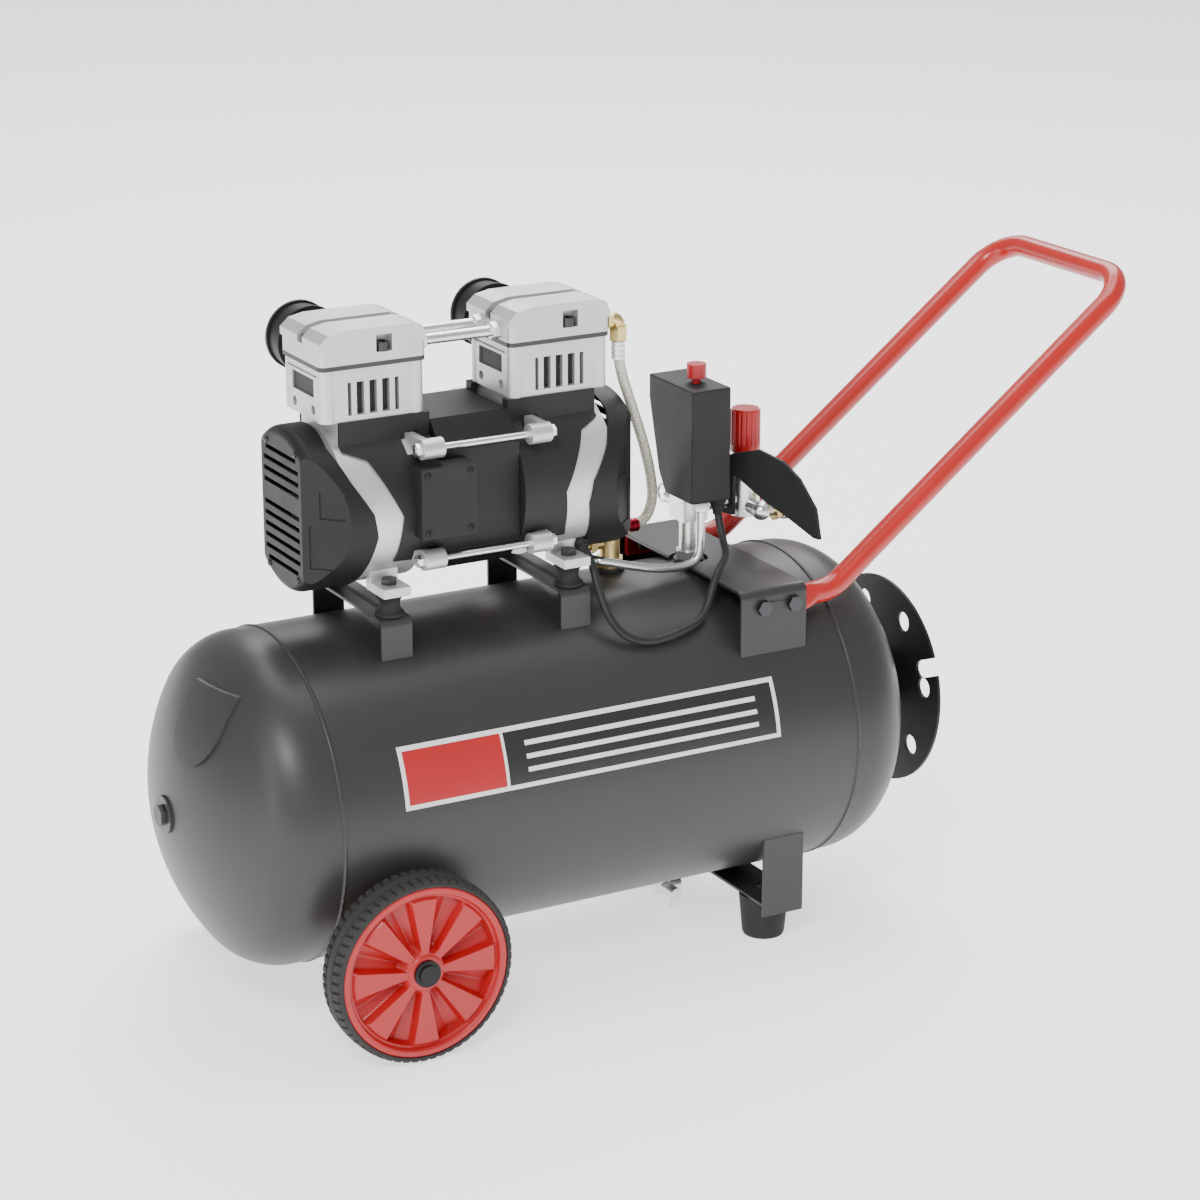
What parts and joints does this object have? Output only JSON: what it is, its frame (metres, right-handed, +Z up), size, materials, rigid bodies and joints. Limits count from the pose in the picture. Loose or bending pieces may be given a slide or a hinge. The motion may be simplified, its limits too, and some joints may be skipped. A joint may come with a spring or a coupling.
{
  "type": "portable air compressor",
  "caption": "Portable oil-free piston air compressor: a two-cylinder pump on a wheeled horizontal air tank with a push handle, pressure switch and regulator.",
  "frame": {"origin": "floor level under the middle of the whole object", "axes": "+X along the tank towards the push handle, -Y the side with the motor terminal box, +Z up"},
  "size_m": [0.9616, 0.386, 0.619],
  "materials": {
    "tank_paint": "dark grey semi-gloss powder coat",
    "cast_aluminium": "as-cast, bead blasted",
    "dark_casting": "dark grey, fine texture",
    "black_plastic": "moulded, fine texture",
    "red_plastic": "moulded, semi-gloss",
    "handle_paint": "gloss powder coat",
    "rubber": "matt",
    "tyre_rubber": "matt, moulded tread",
    "zinc_steel": "zinc plated",
    "dark_steel": "blackened",
    "laminations": "black varnish over thin sheets",
    "copper_winding": "enamelled wire",
    "brass": "turned",
    "braided_hose": "woven sleeve",
    "lead_sheath": "smooth sheath"
  },
  "bodies": {
    "root": {"tank_shell": "tank_paint", "tank_head_left": "tank_paint", "tank_head_right": "tank_paint", "tank_bosses": "tank_paint", "axle_bracket_near": "tank_paint", "axle_bracket_far": "tank_paint", "stub_axles": "zinc_steel", "hub_caps": "black_plastic", "foot_bracket": "tank_paint", "rubber_feet": "rubber", "saddle_left": "tank_paint", "saddle_right": "tank_paint", "rubber_dampers": "rubber", "handle_bracket": "tank_paint", "handle": "handle_paint", "frame_bolts": "dark_steel", "wrap_disc": "black_plastic", "drain_valve": "zinc_steel", "crankcase_left": "cast_aluminium", "crankcase_right": "cast_aluminium", "end_bell_left": "dark_casting", "end_bell_right": "dark_casting", "stator_core": "laminations", "stator_windings": "copper_winding", "shaft_bearings": "zinc_steel", "fan_cover_left": "black_plastic", "fan_cover_right": "black_plastic", "cylinder_left": "cast_aluminium", "cylinder_right": "cast_aluminium", "pistons": "cast_aluminium", "valve_plates": "dark_steel", "head_lid_left": "cast_aluminium", "head_lid_right": "cast_aluminium", "head_screws": "dark_steel", "air_filters": "black_plastic", "crossover_tubes": "zinc_steel", "tie_rods": "zinc_steel", "terminal_box": "dark_casting", "discharge_hose": "braided_hose", "discharge_fittings": "brass", "unloader_tube": "zinc_steel", "air_manifold": "zinc_steel", "pressure_switch": "dark_casting", "outlet_panel": "dark_casting", "pressure_gauge": "black_plastic", "outlet_coupler": "brass", "motor_cable": "lead_sheath"},
    "wheel_near_body": {"wheel_near": "red_plastic", "tyre_near": "tyre_rubber"},
    "wheel_far_body": {"wheel_far": "red_plastic", "tyre_far": "tyre_rubber"},
    "motor_rotor": {"rotor": "cast_aluminium", "motor_shaft": "zinc_steel", "cooling_fans": "black_plastic"},
    "switch_knob": {"on_off_knob": "red_plastic"},
    "pressure_knob": {"regulator_knob": "red_plastic"},
    "valve_ring": {"safety_ring": "zinc_steel"},
    "drain_tap": {"drain_knob": "zinc_steel"},
    "needle": {"gauge_needle": "red_plastic"},
    "coupler_ring": {"coupler_sleeve": "zinc_steel"}
  },
  "joints": [
    {"name": "wheel_near_spin", "type": "hinge", "parent": "root", "child": "wheel_near_body", "pos_m": [-0.31481, -0.187, 0.0845], "axis": [0, 1, 0], "continuous": true},
    {"name": "wheel_far_spin", "type": "hinge", "parent": "root", "child": "wheel_far_body", "pos_m": [-0.31481, 0.187, 0.0845], "axis": [0, 1, 0], "continuous": true},
    {"name": "motor_spin", "type": "hinge", "parent": "root", "child": "motor_rotor", "pos_m": [-0.19381, 0, 0.455], "axis": [1, 0, 0], "continuous": true},
    {"name": "switch_press", "type": "slide", "parent": "root", "child": "switch_knob", "axis": [0, 0, 1], "range_m": [-0.004, 0]},
    {"name": "regulator_turn", "type": "hinge", "parent": "root", "child": "pressure_knob", "pos_m": [0.11219, 0, 0.46], "axis": [0, 0, 1], "range_deg": [-540, 540]},
    {"name": "safety_ring_pull", "type": "slide", "parent": "root", "child": "valve_ring", "axis": [0, 1, 0], "range_m": [0, 0.003]},
    {"name": "drain_turn", "type": "hinge", "parent": "root", "child": "drain_tap", "pos_m": [0.02619, 0, 0.027], "axis": [1, 0, 0], "range_deg": [0, 90]},
    {"name": "gauge_sweep", "type": "hinge", "parent": "root", "child": "needle", "pos_m": [0.12419, 0.034, 0.394], "axis": [1, 0, 0], "range_deg": [-270, 0]},
    {"name": "coupler_release", "type": "slide", "parent": "root", "child": "coupler_ring", "axis": [1, 0, 0], "range_m": [-0.004, 0]}
  ]
}
